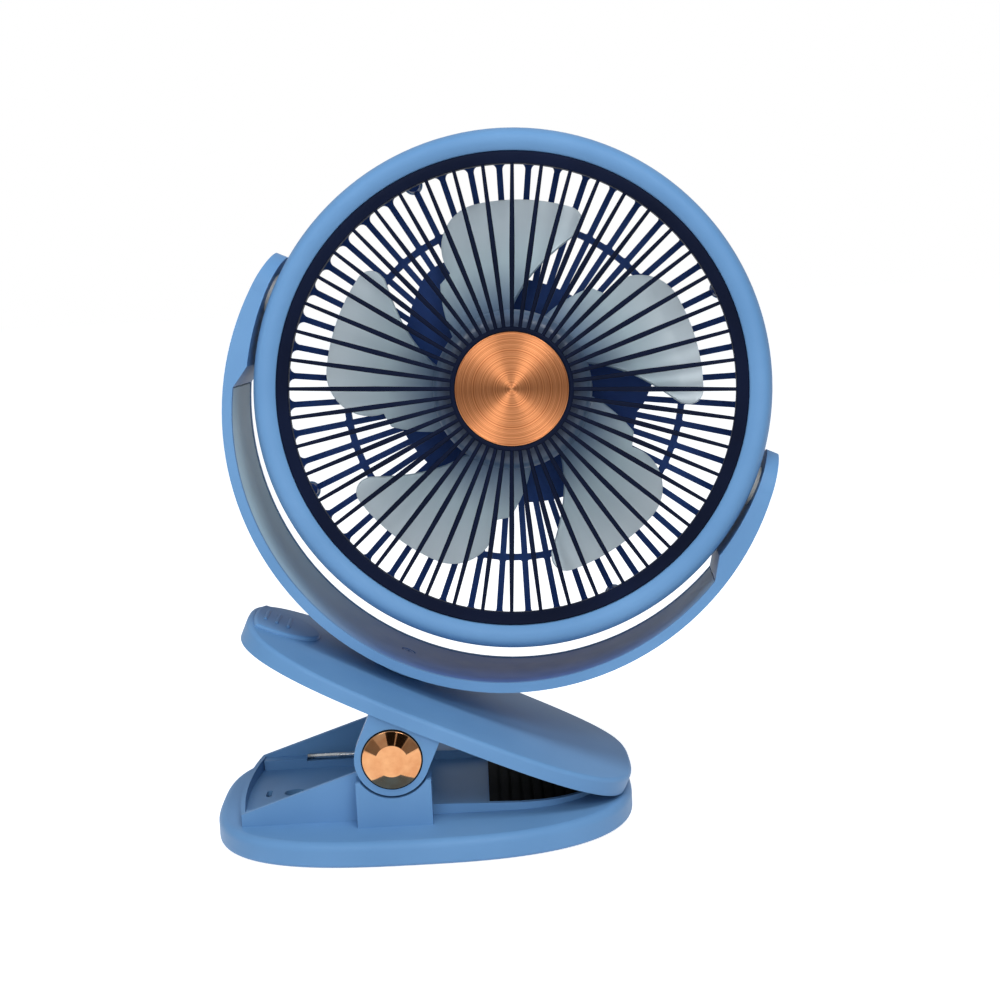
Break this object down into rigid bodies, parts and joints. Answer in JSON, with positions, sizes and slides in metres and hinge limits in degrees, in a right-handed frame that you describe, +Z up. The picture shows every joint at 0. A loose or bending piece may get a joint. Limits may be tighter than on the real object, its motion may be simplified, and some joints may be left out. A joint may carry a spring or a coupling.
{
  "type": "clip fan",
  "caption": "Rechargeable fan with a round caged head that tilts in a C-shaped yoke and swivels on a sprung table clip.",
  "frame": {"origin": "centre of the underside of the base, on the surface the fan stands on", "axes": "+X along the base towards the jaw tips, +Y away from the face of the fan, +Z up"},
  "size_m": [0.2154, 0.1308, 0.255],
  "materials": {
    "blue_plastic": "satin, fine moulded sheen",
    "navy_plastic": "satin, dark",
    "black_plastic": "satin",
    "liner_plastic": "semi-gloss grey",
    "copper_disc": "spun, fine rings",
    "copper_chrome": "polished copper-coloured plating",
    "smoked_blade": "smoked, darker at the hub",
    "black_rubber": "matte",
    "bright_steel": "plain",
    "spring_steel": "bright zinc",
    "nylon": "plain",
    "magnet": "sintered",
    "bronze": "oiled sintered",
    "board": "green lacquer",
    "board_black": "moulded",
    "cell_sleeve": "shrink sleeve",
    "clear_plastic": "polished",
    "lead_sleeve": "soft"
  },
  "bodies": {
    "base": {"base_shell": "blue_plastic", "base_bottom_plate": "blue_plastic", "base_screws": "bright_steel", "base_anti_slip_pad": "black_rubber", "base_jaw_pad": "black_rubber", "hinge_pin": "bright_steel", "hinge_washers": "nylon", "torsion_spring_front": "spring_steel", "torsion_spring_rear": "spring_steel"},
    "jaw": {"jaw_shell": "blue_plastic", "jaw_cover": "blue_plastic", "jaw_cover_screws": "bright_steel", "jaw_pad": "black_rubber", "hinge_cap_front": "copper_chrome", "hinge_cap_rear": "copper_chrome"},
    "yoke": {"yoke_shell": "blue_plastic", "yoke_liner": "liner_plastic", "liner_screw": "liner_plastic", "swivel_washer": "bright_steel", "swivel_spring_washer": "spring_steel", "swivel_screw": "bright_steel", "pivot_washers": "nylon", "pivot_cover_left": "blue_plastic", "pivot_cover_right": "blue_plastic"},
    "head": {"pivot_pins": "bright_steel", "front_bezel": "blue_plastic", "front_grille": "black_plastic", "hub_disc": "copper_disc", "rear_ring": "blue_plastic", "rear_grille": "navy_plastic", "housing_screws": "bright_steel", "pod_cover": "navy_plastic", "pod_screws": "bright_steel", "motor_can": "bright_steel", "motor_end_bell": "nylon", "motor_magnets": "magnet", "motor_bushes": "bronze", "motor_screws": "bright_steel", "battery_cell": "cell_sleeve", "control_board": "board", "board_parts": "board_black", "usb_socket": "bright_steel", "light_pipe": "clear_plastic", "wiring": "lead_sleeve"},
    "rotor": {"motor_shaft": "bright_steel", "motor_armature": "spring_steel", "fan_blade": "smoked_blade", "blade_nut": "bright_steel"},
    "button": {"power_button": "blue_plastic"}
  },
  "joints": [
    {"name": "jaw_hinge", "type": "hinge", "parent": "base", "child": "jaw", "pos_m": [-0.0102, 0, 0.034], "axis": [0, -1, 0], "range_deg": [0, 38], "stiffness_Nm_per_rad": 0.6, "springref_deg": -57.3, "deforming": ["torsion_spring_front", "torsion_spring_rear"]},
    {"name": "yoke_swivel", "type": "hinge", "parent": "jaw", "child": "yoke", "pos_m": [0.04038, 0, 0.15948], "axis": [0.4147, 0, 0.91], "range_deg": [-175, 175]},
    {"name": "head_tilt", "type": "hinge", "parent": "yoke", "child": "head", "pos_m": [0.04038, 0, 0.15948], "axis": [0.907, -0.0802, -0.4134], "range_deg": [-85.5, 94.5]},
    {"name": "blade_spin", "type": "hinge", "parent": "head", "child": "rotor", "pos_m": [0.04038, 0, 0.15948], "axis": [0.0402, 0.9937, -0.1046], "continuous": true},
    {"name": "power_press", "type": "slide", "parent": "head", "child": "button", "axis": [-0.0402, -0.9937, 0.1046], "range_m": [0, 0.0006], "stiffness_N_per_m": 800, "springref_m": -0.0008}
  ]
}
